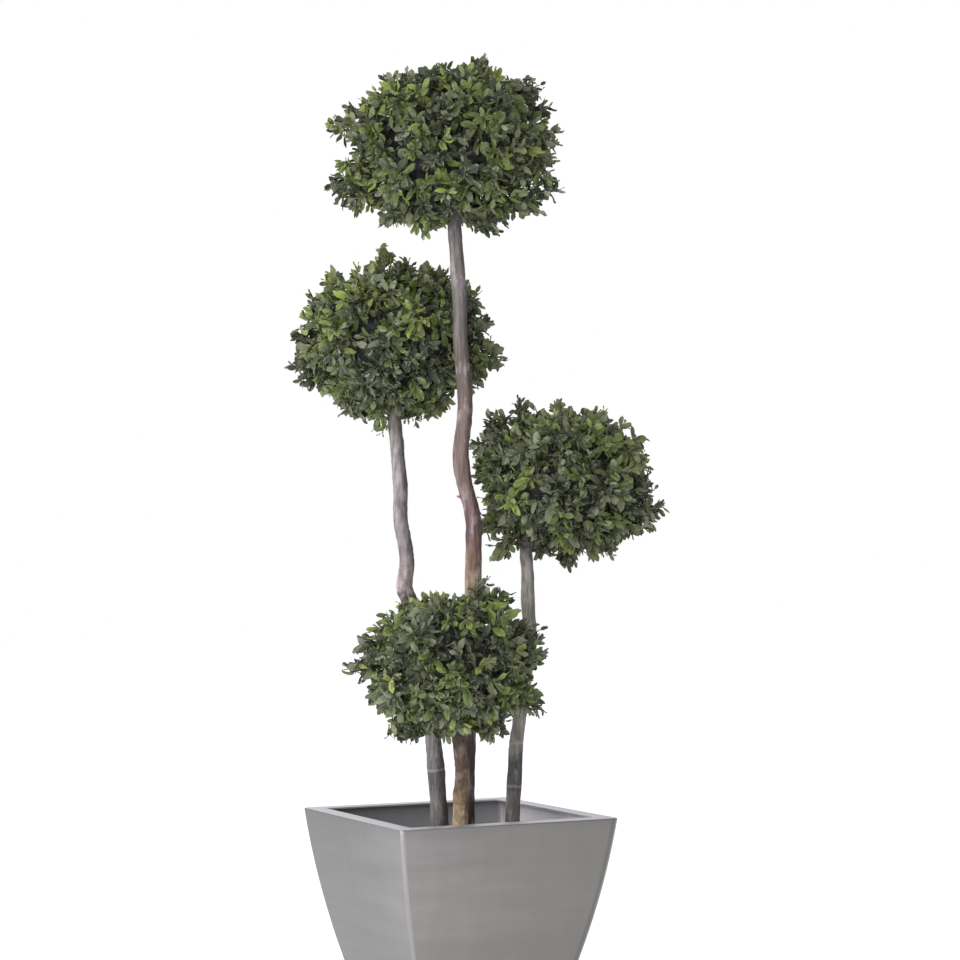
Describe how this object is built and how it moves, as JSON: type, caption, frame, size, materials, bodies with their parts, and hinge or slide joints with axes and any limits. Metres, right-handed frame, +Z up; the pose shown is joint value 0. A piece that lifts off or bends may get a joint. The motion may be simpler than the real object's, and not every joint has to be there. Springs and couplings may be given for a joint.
{
  "type": "potted preserved pittosporum topiary",
  "caption": "Potted clipped shrub: bare crooked stems rise from a square bowed metal planter, each to its own round ball of leathery leaves at a different height.",
  "frame": {"origin": "middle of the planter's flat underside, where it stands on the ground", "axes": "+Z up along the stems; X and Y square to the planter's walls, with -Y towards its wide front wall in the picture and -X towards its narrow left one"},
  "size_m": [0.6196, 0.6435, 1.81],
  "materials": {
    "planter_metal": "brushed, softly mottled, matt",
    "filling": "rough, dry",
    "bark_tall": "smooth bark, grey to reddish brown",
    "bark_left": "smooth bark, pale grey to mauve",
    "bark_right": "smooth bark, dark grey brown",
    "bark_low": "smooth bark, tan",
    "foliage": "preserved leathery leaves, semi-matt"
  },
  "bodies": {
    "root": {"planter": "planter_metal", "pot_fill": "filling", "stem_tall": "bark_tall", "stem_left": "bark_left", "stem_right": "bark_right", "stem_low": "bark_low", "foliage_top": "foliage", "foliage_left": "foliage", "foliage_right": "foliage", "foliage_low": "foliage"}
  },
  "joints": []
}
